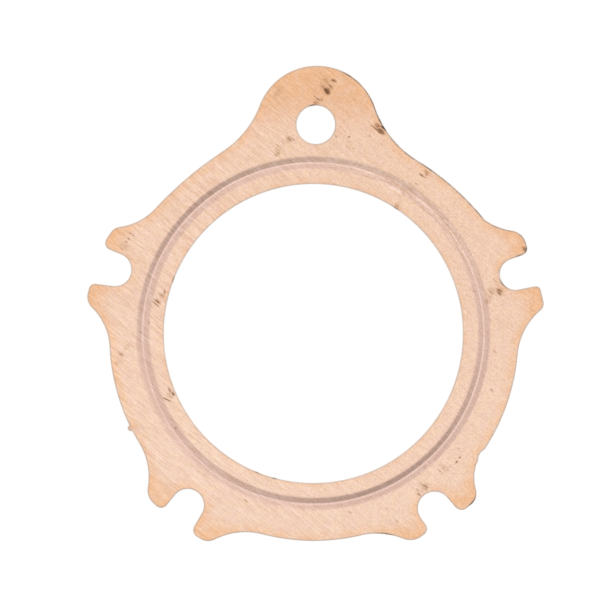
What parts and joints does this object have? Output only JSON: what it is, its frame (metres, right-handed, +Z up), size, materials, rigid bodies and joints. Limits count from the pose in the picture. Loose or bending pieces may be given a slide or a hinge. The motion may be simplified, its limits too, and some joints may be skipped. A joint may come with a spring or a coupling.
{
  "type": "cylinder head gasket",
  "caption": "Flat copper cylinder head gasket: round bore with a pressed bead, a closed stud hole in an ear and forked open stud notches.",
  "frame": {"origin": "on the bore's axis, at the flat sheet's underside; the bead's ridge reaches 0.4 mm below it", "axes": "+Z up out of the face that shows the bead as a channel, +Y towards the ear with the closed stud hole"},
  "size_m": [0.1192, 0.1244, 0.0009],
  "materials": {
    "copper": "brushed"
  },
  "bodies": {
    "root": {"gasket": "copper"}
  },
  "joints": []
}
